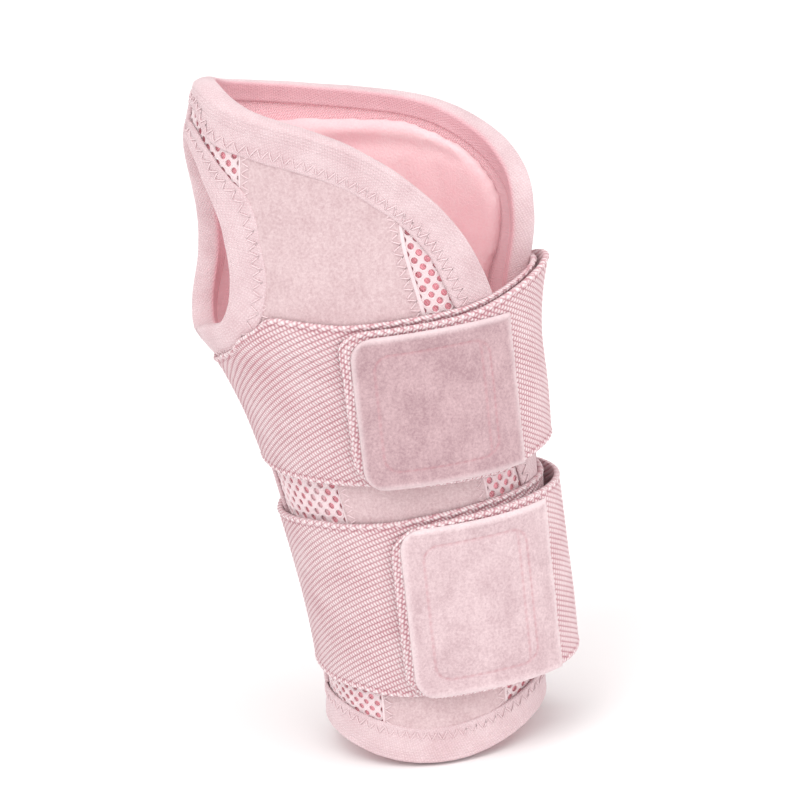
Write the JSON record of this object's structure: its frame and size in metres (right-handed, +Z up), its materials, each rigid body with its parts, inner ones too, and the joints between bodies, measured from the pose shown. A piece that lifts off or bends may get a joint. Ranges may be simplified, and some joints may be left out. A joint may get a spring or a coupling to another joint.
{
  "type": "wrist guard",
  "caption": "Fabric sleeve for the wrist and palm with a thumb hole, a slit closed by wide webbing wraps with hook tabs, mesh sides, a plush palm pad and a flat splint in a pocket.",
  "frame": {"origin": "centre of the cuff opening, at the height of the lowest part of the cuff's hem", "axes": "+Z up the forearm towards the fingers, -Y out of the back of the hand (the front in the picture), +Y out of the palm, -X towards the thumb side, +X towards the slit side"},
  "size_m": [0.1085, 0.0716, 0.211],
  "materials": {
    "suede": "matt brushed suede cloth",
    "mesh": "open warp-knitted mesh",
    "lining": "matt knitted lining, deep pink",
    "stay_tape": "woven tape",
    "stay_plastic": "matt white",
    "palm_cloth": "ribbed knit",
    "plush": "short brushed plush",
    "binding": "finely ribbed knitted tape",
    "webbing": "thick woven elastic",
    "pocket_cloth": "plain woven cloth",
    "tab_suede": "matt suede with an embossed border",
    "hook_tape": "hook tape",
    "splint_metal": "satin",
    "cap_plastic": "dipped soft plastic"
  },
  "bodies": {
    "sleeve": {"front_panel": "suede", "thumb_side_mesh": "mesh", "slit_side_mesh": "mesh", "front_lining": "lining", "stay_cover": "stay_tape", "thumb_side_stay": "stay_plastic", "palm_panel": "palm_cloth", "palm_lining": "lining", "palm_pad": "plush", "opening_tape": "binding", "thumb_hole_tape": "binding", "cuff_tape": "binding", "thumb_seam_tape": "binding", "upper_webbing": "webbing", "lower_webbing": "webbing", "splint_pocket": "pocket_cloth"},
    "upper_strap": {"upper_free_end": "webbing", "upper_tab": "tab_suede", "upper_hook_patch": "hook_tape"},
    "lower_strap": {"lower_free_end": "webbing", "lower_tab": "tab_suede", "lower_hook_patch": "hook_tape"},
    "splint": {"palm_splint": "splint_metal", "splint_end_caps": "cap_plastic"}
  },
  "joints": [
    {"name": "upper_strap_peel", "type": "hinge", "parent": "sleeve", "child": "upper_strap", "pos_m": [0.03886, 0.02094, 0.11618], "axis": [0.0416, 0.0028, 0.9991], "range_deg": [0, 150]},
    {"name": "lower_strap_peel", "type": "hinge", "parent": "sleeve", "child": "lower_strap", "pos_m": [0.03626, 0.02074, 0.0504], "axis": [0.0419, 0.0031, 0.9991], "range_deg": [0, 150]},
    {"name": "splint_slide", "type": "slide", "parent": "sleeve", "child": "splint", "axis": [0, 0, 1], "range_m": [0, 0.155]}
  ]
}
